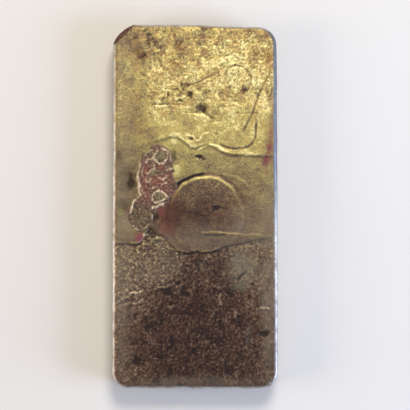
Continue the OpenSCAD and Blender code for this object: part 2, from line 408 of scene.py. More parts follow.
# Brighter and darker places of the skin, as spots. The glints by the magenta spot and the bright patch on
# the upper front's left part are painted highlights, and the dark spots on two hollows at the far end are
# painted shade
clean = with_spots(clean, ragged_x, ragged_y, [
    (-24, 35, 0.8, 8, 0, 0.14), (-23.4, 22, 0.7, 5, 0, 0.1), (-23.6, -1.6, 1.4, 1.6, 0, 0.22),
    (-6.4, 10.6, 1.6, 2.4, -20, 0.18), (-2, 12.4, 5, 3, -15, 0.08), (22.6, 33, 1.6, 5, 0, 0.1),
    (9, 27, 6, 3, 0, 0.06), (-11, -20, 8, 5, 25, 0.07), (-24, -40, 2, 14, 0, 0.06),
    (11.6, -25.4, 0.5, 1, 0, 0.3), (-14.5, -15.2, 0.7, 0.6, 0, 0.3), (-16.1, -9.4, 0.35, 0.8, 20, 0.4),
    (-16.4, -11.4, 0.5, 0.3, 0, 0.5), (-2, -18, 7, 3, 0, -0.07), (6, 45, 7, 3, 10, 0.08),
    (17, 46, 4, 3, -20, 0.08), (-4.4, 49.6, 2.2, 3, 20, -0.22), (-17.6, 49.4, 3.4, 4, 30, -0.16),
    (13, 50.4, 4.4, 1.2, -25, -0.16), (5, 42, 5, 1, 10, -0.08), (13.4, 40.6, 4, 4, 0, -0.05),
    (12, 41, 9, 12, 0, 0.05), (-23.4, -7.4, 2.8, 3.6, 0, 0.06), (14, 50, 6, 5, 0, 0.07),
    (-2, 32, 8, 8, 0, -0.04), (-5.2, 11, 2.2, 2.8, -20, 0.16), (-6.8, 20.8, 3, 1.4, 20, 0.12),
    (15.9, 37, 1.2, 1.3, 0, -0.2), (-1.6, 35.2, 0.9, 1.5, 0, -0.2),
])
# Painted highlight along each front's lip and painted shade below it, and the same at the button's edge,
# with painted shade in its groove and painted light and shade on its ripples
clean += 1.1 * upper_lip * band(past_upper - 0.9, 0.8)
clean -= 0.7 * upper_lip * band(past_upper + 0.4, 0.35)
clean += 0.6 * lower_lip * band(past_lower - 0.5, 0.5)
clean -= 2.4 * lower_lip * band(past_lower + 0.3, 0.35)
clean += (0.03 + 0.1 * rolled) * band(from_button - button_foot + 0.9, 0.4)
clean -= 0.5 * grooved * band(from_button - button_foot - 0.1, 0.45)
clean += 0.06 * ripples * ripple_wave

# What lies on the skin, as spots whose amount is how strong it is
FILMS = {
    # mauve-brown stains: the margins, and where the metal stayed hot
    "stain": [
        (24.6, 47, 2.4, 4, 0, 0.9), (25.2, 32, 1.2, 10, 0, 0.5), (24.9, 20, 1.6, 8, 0, 0.9),
        (-17.8, 49, 1.6, 3, 30, 0.8), (-15.6, 48, 1.2, 1.4, 0, 0.7), (-14.6, 53, 1.4, 1.2, 0, 0.5),
        (-5.4, 50, 2.6, 2.2, 0, 0.45), (-7, 46, 2.4, 1.6, 0, 0.4), (6, -5, 10, 8, 0, 0.6),
        (-6, -3, 6, 6, 0, 0.6), (14, 3, 4, 3, 0, 0.5), (17, -4, 8, 6, 0, 0.35), (-22, 30, 3, 12, 0, 0.3),
        (-18, 26, 3, 4, 0, 0.4), (0, -44, 24, 14, 0, 0.3), (-2, -32, 8, 6, 0, 0.3),
        (13, -31, 5, 5, 30, 0.4), (18, -38, 4, 5, 0, 0.4), (-22, -9.5, 2.4, 1.6, 0, 0.4),
    ],
    # a thin grey-pink haze of tin and lead oxides
    "haze": [
        (-23.5, 24, 4.5, 34, 0, 0.7), (-23.5, -22, 4, 34, 0, 0.7), (24, -24, 3.4, 34, 0, 0.8),
        (18, -4, 8, 6, 0, 0.6), (4, -10, 22, 5, 0, 0.5), (-12, -20, 9, 7, 20, 0.5),
        (15, -20, 6, 7, 0, 0.6), (25, 30, 1.4, 24, 0, 0.6), (0, -57, 26, 3, 0, 0.5),
        (-23, -6.6, 3, 4.4, 0, 0.5),
    ],
    # copper oxide: small magenta spots, and brick-red patches
    "red": [
        (-17.6, -10.2, 1.4, 2, -20, 0.8), (-10.6, -1, 0.9, 1.1, 0, 0.4), (22.6, 14.4, 1.3, 2.3, 0, 0.8),
        (23.7, 18.2, 0.9, 1.6, 0, 0.7), (24.2, 23, 0.7, 1.8, 0, 0.3), (22.9, 10.4, 0.8, 0.8, 0, 0.6),
        (-21.4, -1.4, 1.2, 1.8, 0, 0.25),
    ],
    "brick": [
        (-10.8, -2.2, 1.6, 2.4, 0, 0.45), (-9, -8, 3.6, 2.4, -20, 0.34), (-7.8, -3.4, 4, 6, 10, 0.22),
        (-6.4, 4, 1.4, 3.2, 20, 0.3),
    ],
    # soot and dark scale, with painted shade in the hollows, painted shadow beside the slag crust's left
    # ridge, and a painted shadow smear below the hollow at the far end
    "soot_and_painted_shade": [
        (-19.9, 8.4, 1.5, 5, 4, 0.45), (-20.4, 7.4, 1.3, 3, 0, 0.5), (-22.4, 8.5, 2.4, 5.4, 0, 0.35),
        (-22.8, 0, 2.4, 2.4, 0, 0.5), (-24.6, 15.4, 1.6, 2.4, 0, 0.45), (-12.8, -3.6, 1.1, 1.6, 0, 1.0),
        (-14.2, -8.6, 2.4, 2.8, -30, 0.6), (-6.9, 16, 0.9, 1.7, 10, 0.6), (22.1, -40.8, 1.8, 1.2, 10, 1.5),
        (14.8, -22.6, 2.6, 0.6, 45, 0.9), (2.1, 31, 2.3, 1.7, 0, 0.3), (3.8, 29.2, 3, 0.9, -40, 0.3),
        (7, 28.8, 4.6, 1.5, -20, 0.2), (1.3, 15.5, 1.3, 0.9, -15, 0.7), (-12.5, -56, 2.2, 1.2, 0, 0.35),
        (-3.2, -28.2, 3, 1.2, -35, 0.45), (-7.6, -24.8, 3.2, 0.9, 30, 0.45),
        (-8.8, -28, 2.8, 1.8, 20, 0.35), (-14.2, -37.8, 3.4, 3.8, 20, 0.35), (-18, -48.4, 3, 3, 0, 0.35),
        (-6, -46, 4.6, 3.4, 30, 0.3), (3, -41, 5, 3, 0, 0.3), (-12, -52, 3.4, 2.4, 0, 0.3),
        (17, -36, 3, 2.4, 0, 0.3), (7.5, -21.6, 5, 4.6, 0, 0.3), (-7, -4, 4.5, 6, 0, 0.25),
        (1, -3, 5, 4, 0, 0.15), (22.5, 14, 1, 2, 0, 0.35), (23.6, 18, 0.6, 1.2, 0, 0.3),
        (-4.2, 38.4, 1.6, 0.9, -20, 0.5), (-1.6, 35.2, 1.2, 1.7, 0, 0.6), (-6.4, 36.9, 1.4, 0.8, 40, 0.5),
        (-8.6, 35.2, 1.2, 0.7, 50, 0.5), (-4.8, 33.7, 1.1, 0.8, 0, 0.45), (-10, 34, 0.8, 0.6, 20, 0.4),
    ],
    # grey-green verdigris
    "verdigris": [
        (15.5, -19.5, 4.6, 5.6, 10, 0.8), (14.5, -26, 2.4, 2, 0, 0.7), (-20, -9.6, 0.8, 1.4, 0, 0.8),
        (17, -41, 1, 4, 0, 0.5), (-18, -5, 3.4, 3, 0, 0.6), (2.5, -18.5, 1.8, 1.4, 0, 0.35),
    ],
}
masks = {name: with_spots(0.0, ragged_x, ragged_y, places) for name, places in FILMS.items()}
# painted shade in every hollow
masks["soot_and_painted_shade"] += 0.9 * hollow * (0.6 + 0.4 * second)
masks["clean"] = clean
masks["crest"] = crest
masks["crumpled"] = crumple
# 1 on the sides, which the mould gave a plainer skin
masks["moulded"] = np.zeros_like(x)
# the first pour's skin is browner, more so towards the near end
masks["first_pour"] = (1 - second) * (0.5 + 0.5 * rise(3 * grain(x, y, 6, 68) - y, 14, 30))
# where beads of metal were left in the first pour's skin
masks["beaded"] = (1 - second) * rise(grain(x, y, 6, 62), -0.15, 0.35) * rise(level_share, 0.9, 1)
# The rim is drawn pale, partly rubbed bright and partly a painted highlight, and the far half of its right
# side has a painted blue-grey reflection
rim_masks = {"rubbed_and_painted_highlight": rise(turn, 0.35, 0.9) * (0.8 + 0.6 * grain(x, y, 2.5, 61))}
rim_masks["painted_cool_reflection"] = rise(turn, 0.1, 0.5) * rise(facing_x, 0.3, 0.8)
rim_masks["painted_cool_reflection"] *= rise(y + 4 * grain(x, y, 9, 66), -14, 14)

# Mesh: the free surface, then the sides in rings down to the underside
skin_points = np.column_stack((x, y, z))
index = np.arange(x.size).reshape(rows + 1, columns + 1)
cells = np.stack((index[:-1, :-1], index[:-1, 1:], index[1:, 1:], index[1:, :-1]), -1).reshape(-1, 4)
edge_ring = np.concatenate((index[0, :-1], index[:-1, -1], index[-1, :0:-1], index[:0:-1, 0]))

wall_rings = 12
fillet_rings = 4
ring_count = wall_rings + fillet_rings
lap_depth = 0.2  # cold laps and chills, which run level round the sides
pit_depth = 0.16
ring_facing = np.column_stack((facing_x, facing_y))[edge_ring]
ring_top = skin_points[edge_ring]
wall_height = ring_top[:, 2] - base_fillet
points = [skin_points]
faces = [cells]
lap_shade = []
last_ring = edge_ring
for ring in range(1, ring_count + 1):
    down = min(ring / wall_rings, 1)
    bend = max(ring - wall_rings, 0) / fillet_rings * math.pi / 2
    inset = wall_height * down * math.tan(draft) + base_fillet * (1 - math.cos(bend))
    ring_z = ring_top[:, 2] - wall_height * down - base_fillet * math.sin(bend)
    ring_x = ring_top[:, 0] - ring_facing[:, 0] * inset
    ring_y = ring_top[:, 1] - ring_facing[:, 1] * inset
    laps = np.zeros(ring_x.size)
    if ring < ring_count:
        laps = lap_depth * np.abs(lumps(np.column_stack((ring_x / 9, ring_y / 9, ring_z / 0.8)), 3))
        pitting = lumps(np.column_stack((ring_x / 1.1, ring_y / 1.1, ring_z / 0.9)), 2)
        laps += 0.06 * np.abs(pitting) + pit_depth * rise(pitting, 0.3, 0.55)
        laps *= min(ring / 3, 1)
    lap_shade.append(0.05 - laps)
    ring_x -= ring_facing[:, 0] * laps
    ring_y -= ring_facing[:, 1] * laps
    this_ring = last_ring.size * (ring - 1) + x.size + np.arange(edge_ring.size)
    points.append(np.column_stack((ring_x, ring_y, ring_z)))
    faces.append(np.column_stack((last_ring, this_ring, np.roll(this_ring, -1), np.roll(last_ring, -1))))
    last_ring = this_ring
points = np.vstack(points)
side_count = len(points) - x.size
lap_shade = np.concatenate(lap_shade)

# The underside is flat, and its mesh is coarse
base_pitch = 2.0
base_margin = 2.5
base_gap = 0.7  # no inner point of the mesh lies nearer to its outline
base_outline = points[last_ring]
base_count = len(base_outline)
inside = [
    (px, py)
    for px in np.arange(-half_width + base_margin, half_width - base_margin + 0.1, base_pitch)
    for py in np.arange(-half_length + base_margin, half_length - base_margin + 0.1, base_pitch)
    if np.min(np.hypot(base_outline[:, 0] - px, base_outline[:, 1] - py)) > base_gap
]
flat = [Vector(p[:2]) for p in base_outline] + [Vector(p) for p in inside]
loop_edges = [(i, (i + 1) % base_count) for i in range(base_count)]
_, _, triangles, sources, _, _ = geometry.delaunay_2d_cdt(flat, loop_edges, [], 1, 1e-6)
base_index = [
    last_ring[source[0]] if source[0] < base_count else len(points) + source[0] - base_count
    for source in sources
]
points = np.vstack((points, [(px, py, 0) for px, py in inside]))
polygons = [tuple(int(i) for i in face) for block in faces for face in block]
polygons += [tuple(int(base_index[i]) for i in reversed(triangle)) for triangle in triangles]

ingot_mesh = bpy.data.meshes.new("ingot_metal")
ingot_mesh.from_pydata((points * MM).tolist(), [], polygons)


def keep_values(mesh, name, values):
    """Keeps one value for each of the mesh's points, for its material and its nodes."""
    mesh.attributes.new(name, "FLOAT", "POINT").data.foreach_set("value", values.astype(np.float32))


SIDE_VALUES = {"clean": 0.52, "stain": 0.25, "moulded": 1.0}
sides = slice(x.size, x.size + side_count)
for name, values in masks.items():
    side_value = SIDE_VALUES.get(name, 0.0)
    whole = np.full(len(points), side_value)
    whole[:x.size] = values * level_share + side_value * (1 - level_share)
    if name == "clean":
        whole[sides] += 0.8 * lap_shade
    keep_values(ingot_mesh, name, whole)
rim_fade = 1.3  # rings of the side's mesh over which the rim's look fades out
for name, values in rim_masks.items():
    whole = np.zeros(len(points))
    whole[:x.size] = values
    whole[sides] = np.outer(np.exp(-np.arange(ring_count) / rim_fade), values[edge_ring]).ravel()
    keep_values(ingot_mesh, name, whole)
keep_values(ingot_mesh, "chiselled", np.zeros(len(points)))

# The assay cut: a chisel took the upper left corner, deeper at the top, and left a torn face
cut_size = 7.4  # along the end and along the side, at the free surface
cut_lean = math.radians(22)
tear_pitch = 0.2  # spacing of the torn face's mesh
tear_gap = 0.12  # and how near it comes to the face's edge
tear_depths = (0.6, 0.3)  # of long tears, and of the grain between them
cut_middle = Vector((-half_width + cut_size / 2, half_length - cut_size / 2, second_level)) * MM
cut_facing = Vector((-math.cos(cut_lean), math.cos(cut_lean), math.sqrt(2) * math.sin(cut_lean)))
cut_facing.normalize()
work = bmesh.new()
work.from_mesh(ingot_mesh)
bmesh.ops.bisect_plane(
    work, geom=[*work.verts, *work.edges, *work.faces], dist=1e-8, plane_co=cut_middle, plane_no=cut_facing,
    clear_outer=True,
)
cut_level = Vector((1, 1, 0)).normalized()
cut_up = cut_facing.cross(cut_level)
for vert in [vert for vert in work.verts if not vert.link_faces]:
    work.verts.remove(vert)
torn = [edge for edge in work.edges if edge.is_boundary]
ring_verts = list(dict.fromkeys(vert for edge in torn for vert in edge.verts))
number_of = {vert: i for i, vert in enumerate(ring_verts)}
from_middle = [(vert.co - cut_middle) / MM for vert in ring_verts]
flat = [Vector((place.dot(cut_level), place.dot(cut_up))) for place in from_middle]
outline = np.array(flat)
for across_cut in np.arange(outline[:, 0].min(), outline[:, 0].max(), tear_pitch):
    for up_cut in np.arange(outline[:, 1].min(), outline[:, 1].max(), tear_pitch):
        if np.min(np.hypot(outline[:, 0] - across_cut, outline[:, 1] - up_cut)) > tear_gap:
            flat.append(Vector((across_cut, up_cut)))
edges = [(number_of[edge.verts[0]], number_of[edge.verts[1]]) for edge in torn]
made, _, triangles, sources, _, _ = geometry.delaunay_2d_cdt(flat, edges, [], 1, 1e-7)
torn_layer = work.verts.layers.float["chiselled"]
cut_verts = {}
for corner in sorted({corner for triangle in triangles for corner in triangle}):
    place, source = made[corner], sources[corner]
    if source and source[0] < len(ring_verts):
        cut_verts[corner] = ring_verts[source[0]]
        continue
    depth = tear_depths[0] * abs(noise.fractal((place.x / 0.7, place.y / 4, 5), 1.0, 2.0, 3))
    depth += tear_depths[1] * abs(noise.fractal((place.x / 1.2, place.y / 0.9, 9), 1.0, 2.0, 3))
    vert = work.verts.new(cut_middle + (cut_level * place.x + cut_up * place.y - cut_facing * depth) * MM)
    vert[torn_layer] = 1
    cut_verts[corner] = vert
for triangle in triangles:
    work.faces.new([cut_verts[i] for i in triangle])


def finish_mesh(work, mesh):
    """Turns the faces outwards, shades them smooth and writes them to the mesh."""
    bmesh.ops.recalc_face_normals(work, faces=work.faces)
    for face in work.faces:
        face.smooth = True
    work.to_mesh(mesh)
    work.free()


def add_object(name, data):
    """Adds an object that shows this mesh, lamp or camera, at the origin."""
    added = bpy.data.objects.new(name, data)
    bpy.context.scene.collection.objects.link(added)
    return added


finish_mesh(work, ingot_mesh)
ingot_metal = add_object("ingot_metal", ingot_mesh)


def srgb(code):
    """Linear colour of an sRGB hex code."""
    channels = [int(code[i:i + 2], 16) / 255 for i in (1, 3, 5)]
    return [c / 12.92 if c <= 0.04045 else ((c + 0.055) / 1.055) ** 2.4 for c in channels] + [1.0]


def add_node(tree, kind, settings, inputs):
    """Adds a node. Each input is named or numbered, and given as a value or as another node's output."""
    node = tree.nodes.new(kind)
    for name, value in settings.items():
        setattr(node, name, value)
    for name, value in inputs.items():
        if isinstance(value, bpy.types.NodeSocket):
            tree.links.new(value, node.inputs[name])
        else:
            node.inputs[name].default_value = value
    return node


def start_material(name):
    """A material and its empty node tree."""
    material = bpy.data.materials.new(name)
    material.use_nodes = True
    material.node_tree.nodes.clear()
    return material, material.node_tree


def finish_material(tree, height, bump, look):
    """Ends a material with a bump made from this height, and a shader with this look."""
    normal = add_node(tree, "ShaderNodeBump", {}, {"Height": height, **bump}).outputs["Normal"]
    shader = add_node(tree, "ShaderNodeBsdfPrincipled", {}, {"Normal": normal, **look}).outputs["BSDF"]
    add_node(tree, "ShaderNodeOutputMaterial", {}, {"Surface": shader})


# Crude gold alloy with a skin of oxides, as it froze: from pale brass yellow where it is clean, through
# olive tan, to umber where copper came to the surface. A half-gloss metal that is duller where it is dark.
def cast_alloy_skin():
    material, tree = start_material("cast_gold_alloy_skin")
    place = add_node(tree, "ShaderNodeTexCoord", {}, {}).outputs["Object"]
    signal = {
        name: add_node(tree, "ShaderNodeAttribute", {"attribute_name": name}, {}).outputs["Fac"]
        for name in [*masks, *rim_masks, "chiselled"]
        if name != "beaded"
    }
    # Each pattern's size in mm, detail, roughness and distortion. The speckle and the fine grain are
    # drawn about ten times as coarse as the real oxide grain, which is too fine to show
    for name, size, detail, roughness, distortion in [
        ("mottle", 1.6, 5.0, 0.65, 0.0), ("speckle", 0.45, 3.0, 0.6, 0.0), ("blotch", 7, 4.0, 0.5, 0.6),
        ("warm_patch", 3.4, 5.0, 0.5, 1.0), ("tangle", 2.2, 3.0, 0.6, 1.2), ("fine", 0.4, 4.0, 0.7, 0.0),
    ]:
        signal[name] = add_node(
            tree, "ShaderNodeTexNoise", {},
            {"Vector": place, "Scale": 1 / (size * MM), "Detail": detail, "Roughness": roughness,
             "Distortion": distortion},
        ).outputs["Fac"]
    # Thin veins run where the tangle is near its middle, on the crumpled skin only. The value says how clean
    # the skin looks,
    # with painted light and shade: it follows what stands proud, and mottling that is weaker on the moulded
    # sides.
    # Each step is a result, an operation and its inputs, which are earlier results or numbers
    vein_width = 0.03
    for name, operation, *inputs in [
        ("veins", "SUBTRACT", "tangle", 0.5),
        ("veins", "ABSOLUTE", "veins"),
        ("veins", "MULTIPLY_ADD", "veins", -1 / vein_width, 1.0),
        ("veins", "MAXIMUM", "veins", 0.0),
        ("veins", "MULTIPLY", "veins", "crumpled"),
        ("skin_share", "MULTIPLY_ADD", "moulded", -0.7, 1.0),
        ("mottling", "SUBTRACT", "mottle", 0.5),
        ("mottling", "MULTIPLY", "mottling", "skin_share"),
        ("specks", "SUBTRACT", "speckle", 0.5),
        ("specks", "MULTIPLY", "specks", "skin_share"),
        ("value", "MULTIPLY_ADD", "crest", 0.13, "clean"),
        ("value", "MULTIPLY_ADD", "mottling", 0.36, "value"),
        ("value", "MULTIPLY_ADD", "specks", 0.72, "value"),
        ("value", "MULTIPLY_ADD", "veins", -0.24, "value"),
        ("value", "SUBTRACT", "value", 0.03),
        ("height", "MULTIPLY_ADD", "veins", -0.5, "fine"),
    ]:
        inputs = {i: signal.get(value, value) for i, value in enumerate(inputs)}
        signal[name] = add_node(tree, "ShaderNodeMath", {"operation": operation}, inputs).outputs[0]

    # colours from dark to clean: of the second pour, and of the browner first pour
    skin = []
    for codes in [
        ("#1e1210", "#443128", "#6d5844", "#95865c", "#bbab68", "#ecdfa4"),
        ("#1c0d06", "#442c1e", "#675142", "#8b7662", "#ae9a7e", "#d8c8a8"),
    ]:
        ramp = add_node(tree, "ShaderNodeValToRGB", {}, {"Fac": signal["value"]})
        stops = ramp.color_ramp.elements
        stops[0].color = srgb(codes[0])
        stops[1].color = srgb(codes[-1])
        for position, code in zip((0.22, 0.42, 0.62, 0.82), codes[1:-1]):
            stops.new(position).color = srgb(code)
        skin.append(ramp.outputs["Color"])
    colour = add_node(
        tree, "ShaderNodeMix", {"data_type": "RGBA"}, {0: signal["first_pour"], 6: skin[0], 7: skin[1]}
    ).outputs[2]
    # What lies over them: mask, pattern, the pattern's gain and offset, most cover, colour and way. Where
    # the gain is 0 the offset alone is the strength
    for name, over, gain, offset, most, code, way in [
        ("crumpled", "warm_patch", 3.0, -1.3, 0.28, "#c9a05e", "MIX"),
        ("stain", "blotch", 1.4, 0.1, 0.9, "#ceb0aa", "MULTIPLY"),
        ("haze", "blotch", 1.0, 0.0, 1.0, "#8c7f6a", "MIX"),
        ("verdigris", "speckle", 1.4, -0.35, 1.0, "#7c7a66", "MIX"),
        ("red", "speckle", 3.0, -0.7, 0.8, "#8f4052", "MIX"),
        ("brick", "speckle", 2.4, -0.3, 0.8, "#7e4338", "MIX"),
        # soot and dark scale, with painted shade and shadow
        ("soot_and_painted_shade", "speckle", 1.8, -0.05, 0.9, "#251813", "MIX"),
        # the rim: pale, partly wear and partly painted highlight, and a painted blue-grey reflection on its
        # right side
        ("rubbed_and_painted_highlight", "speckle", 0.0, 0.7, 1.0, "#cfd0cc", "MIX"),
        ("painted_cool_reflection", "speckle", 0.0, 0.85, 1.0, "#59606c", "MIX"),
    ]:
        share = signal[over]
        steps = [("MULTIPLY_ADD", gain, offset), ("MULTIPLY", signal[name]), ("MINIMUM", most)]
        for operation, *inputs in steps:
            inputs = dict(enumerate([share, *inputs]))
            share = add_node(tree, "ShaderNodeMath", {"operation": operation}, inputs).outputs[0]
        settings = {"data_type": "RGBA", "blend_type": way}
        colour = add_node(tree, "ShaderNodeMix", settings, {0: share, 6: colour, 7: srgb(code)}).outputs[2]
    torn_metal = add_node(
        tree, "ShaderNodeMix", {"data_type": "RGBA"},
        {0: signal["speckle"], 6: srgb("#190c0a"), 7: srgb("#7d4a33")},
    ).outputs[2]
    colour = add_node(
        tree, "ShaderNodeMix", {"data_type": "RGBA"}, {0: signal["chiselled"], 6: colour, 7: torn_metal}
    ).outputs[2]

    # oxide is duller and less like a metal than clean alloy
    limits = {"Value": signal["value"], "From Min": 0.1, "From Max": 1.0, "To Min": 0.6, "To Max": 0.34}
    dull = add_node(tree, "ShaderNodeMapRange", {}, limits).outputs["Result"]
    dull = add_node(
        tree, "ShaderNodeMath", {"operation": "MULTIPLY_ADD"}, {0: signal["rubbed_and_painted_highlight"], 1: -0.16, 2: dull}
    ).outputs[0]
    limits = {"Value": signal["value"], "From Min": 0.1, "From Max": 0.7, "To Min": 0.5, "To Max": 0.95}
    metal = add_node(tree, "ShaderNodeMapRange", {}, limits).outputs["Result"]
    bump = {"Strength": 0.8, "Distance": 0.16 * MM}
    look = {"Base Color": colour, "Roughness": dull, "Metallic": metal}
    finish_material(tree, signal["height"], bump, look)
    return material


ingot_mesh.materials.append(cast_alloy_skin())
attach(ingot_metal, "root")
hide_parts("ingot")

# --------------------------------------------------------------------------- The slag crust
# Slag and copper matte that floated on the melt and froze left of the button: a brittle, glassy mass,
# red with cuprite between pale rolled ridges. It is fused to the bar's skin.
CRUST_OUTLINE = [
    (-11.6, 19.6), (-9.4, 18.9), (-7.9, 17.2), (-7, 15.2), (-7.3, 13.4), (-6.6, 11.8), (-7, 9.9), (-6, 8),
    (-5.6, 6), (-6.6, 3.6), (-8.3, 1.4), (-9.4, -0.4), (-11.4, -1), (-12.9, -2.4), (-13.3, -4.4),
    (-14.7, -6.6), (-16.2, -8.1), (-18.2, -8.5), (-19.8, -7.4), (-20.9, -5.6), (-21.4, -3.2),
    (-20.8, -1.6), (-20.5, 0.2), (-20, 1.6), (-18.6, 2.7), (-18.1, 3.8), (-18.6, 5.4), (-18.4, 7),
    (-18.9, 9), (-18.6, 11), (-18.3, 12.8), (-17.4, 14.6), (-16.4, 16.6), (-14.6, 18.2), (-13.2, 19.4),
]
crust_pitch = 0.17  # spacing of its mesh
crust_gap = 0.1  # and how near it comes to the crust's edge
crust_foot = second_level - 0.45  # below the skin all round, so that no gap shows
crust_edge = through([*CRUST_OUTLINE, CRUST_OUTLINE[0]])[:-1]
edge_x, edge_y = crust_edge.T
crust_edge = np.column_stack(
    (edge_x + 0.6 * grain(edge_x, edge_y, 1.8, 71, 2), edge_y + 0.6 * grain(edge_x, edge_y, 1.8, 72, 2))
)
reach_x = np.arange(crust_edge[:, 0].min(), crust_edge[:, 0].max(), crust_pitch)
reach_y = np.arange(crust_edge[:, 1].min(), crust_edge[:, 1].max(), crust_pitch * 0.87)
crust_grid = [(gx + crust_pitch / 2 * (row % 2), gy) for row, gy in enumerate(reach_y) for gx in reach_x]
crust_flat = [Vector(p) for p in crust_edge]
for gx, gy in crust_grid:
    if np.min(np.hypot(crust_edge[:, 0] - gx, crust_edge[:, 1] - gy)) > crust_gap:
        crust_flat.append(Vector((gx, gy)))
edge_count = len(crust_edge)
edge_loop = [(i, (i + 1) % edge_count) for i in range(edge_count)]
made, _, triangles, sources, _, _ = geometry.delaunay_2d_cdt(crust_flat, edge_loop, [], 1, 1e-6)
used = sorted({corner for triangle in triangles for corner in triangle})
renumbered = {corner: i for i, corner in enumerate(used)}
crust_x, crust_y = np.array([made[corner] for corner in used]).T
triangles = [tuple(renumbered[corner] for corner in triangle) for triangle in triangles]
on_edge = {sources[corner][0]: renumbered[corner] for corner in used if sources[corner][0] < edge_count}

inward = np.full(crust_x.size, 1e9)
for ex, ey in crust_edge:
    inward = np.minimum(inward, np.hypot(crust_x - ex, crust_y - ey))
wormy = creases(crust_x, crust_y, 1.1, 73)
crust_grain = grain(crust_x, crust_y, 0.7, 74)
ridge = np.zeros_like(crust_x)
# Pale ridges, where the crust's skin rolled up: points, width and height
CRUST_RIDGES = [
    ([(-17.4, 14), (-18, 12.3), (-18.2, 10.5), (-18.4, 9.2), (-18.1, 7.6), (-17.9, 6.3), (-18.1, 5),
      (-17.6, 3.2),
      (-18.7, 2.2), (-19.9, 1.1), (-20.1, -0.2), (-20.5, -1.8), (-20.7, -3)], 0.35, 0.24),
    ([(-11.7, 17.8), (-12.5, 16.9), (-13.1, 15.6), (-13.3, 14.7), (-12.4, 14.2), (-11.9, 13.4),
      (-11.3, 13.2),
      (-10.2, 13.4), (-9.6, 14), (-9.2, 14.8), (-8.8, 16.4), (-8.7, 17.3), (-9.5, 17.6),
      (-11.3, 18.3)], 0.3, 0.17),
    ([(-15.8, 13.4), (-15.4, 14.4), (-14.2, 14.8), (-13.3, 14.7)], 0.28, 0.14),
    ([(-14.4, 13), (-13.5, 12.6), (-12.8, 12.9)], 0.25, 0.1),
    ([(-16.3, 15.9), (-15.2, 16.9), (-14, 17.7)], 0.3, 0.1),
    ([(-7.6, 16.4), (-7.9, 15), (-8, 14)], 0.25, 0.12),
    ([(-9.2, 10.9), (-8.2, 11.3), (-7, 11.4)], 0.3, 0.12),
    ([(-12.8, 12), (-13.5, 11.4), (-14.4, 10.8), (-15.4, 9.8)], 0.28, 0.13),
    ([(-14.2, 9.4), (-14.3, 8), (-14.8, 6.9)], 0.24, 0.12), ([(-15.9, 8.6), (-15.6, 7.7),
      (-15, 6.9)], 0.24, 0.12),
    ([(-9, 9.4), (-9.6, 8.6), (-10.4, 8.2), (-11.6, 8.8)], 0.26, 0.13), ([(-8.7, 7.2),
      (-10.8, 6.5)], 0.26, 0.12),
    ([(-11.9, 5.9), (-13.5, 5.5), (-14, 4.8)], 0.26, 0.12),
    ([(-13.6, 1.1), (-13.7, 2.5), (-13.2, 3.7), (-12.1, 4.4), (-11, 4.5), (-10.1, 3.7), (-9.2, 3),
      (-9.1, 2.4),
      (-10.1, 1.6), (-12.1, 0.8), (-13.4, 0.8)], 0.3, 0.18),
    ([(-14, -0.9), (-12.6, -0.6), (-11.4, 0), (-10, 0.3)], 0.35, 0.2),
    ([(-19.9, -6.6), (-19.2, -7.6), (-18.2, -8)], 0.35, 0.14), ([(-13.9, -3.2), (-13.7, -4.5)], 0.3, 0.13),
    ([(-14.9, -6.2), (-15.6, -7.1), (-16.2, -7.7)], 0.3, 0.1),
    ([(-16.6, 12.2), (-16.9, 10.4), (-16.7, 8.8)], 0.22, 0.09), ([(-17, 5), (-16.4, 3.6),
      (-15.6, 2.6)], 0.22, 0.09),
]
bent_x = crust_x + 0.25 * grain(crust_x, crust_y, 0.9, 75)
bent_y = crust_y + 0.25 * grain(crust_x, crust_y, 0.9, 76)
for points, width, amount in CRUST_RIDGES:
    mark(ridge, bent_x, bent_y, points, width, amount, 0.06)
# Pebble-like cells, and the cracks and pits between them, as spots
CRUST_CELLS = [
    (-11, 15.8, 1.6, 1.8, 0, 0.08), (-11.5, 2.5, 1.5, 1.3, 30, 0.1), (-13.8, 13.4, 0.6, 0.6, 0, 0.08),
]
CRUST_PITS = [
    (-10.8, 14.3, 0.8, 0.4, 20, 0.12), (-7.6, 15.4, 0.5, 0.6, 0, 0.14), (-8.6, 12.7, 1.1, 0.7, 0, 0.14),
    (-12.9, 4.5, 0.5, 0.3, 0, 0.1), (-6.9, 5.9, 0.9, 1.4, 0, 0.1), (-16, 4.6, 0.7, 0.5, 0, 0.08),
    (-12.2, 10.3, 0.7, 0.5, 0, 0.08),
]
cell = with_spots(0.0, crust_x, crust_y, CRUST_CELLS)
pit = with_spots(0.0, bent_x, bent_y, CRUST_PITS)
crack = np.zeros_like(crust_x)
mark(crack, bent_x, bent_y, [(-14.4, 0.1), (-12.7, 0.1), (-11.4, 0.7), (-9.5, 1.2), (-8.6, 1.2)], 0.24, 0.22)
# the tongue of slag at the near end is thinner and darker
tongue = rise(-crust_y - 0.4 * crust_x, 6.6, 8.4)
crust_lift = (0.2 - 0.1 * tongue) * rise(inward, 0, 0.55) - 0.1
crust_lift += rise(inward, 0, 0.4) * (0.05 * wormy + 0.08 * crust_grain + ridge + cell - pit - crack)
crust_limits = (-0.3, 0.44)  # so that it stays inside the bar's highest level
crust_z = second_level + np.clip(crust_lift, *crust_limits)

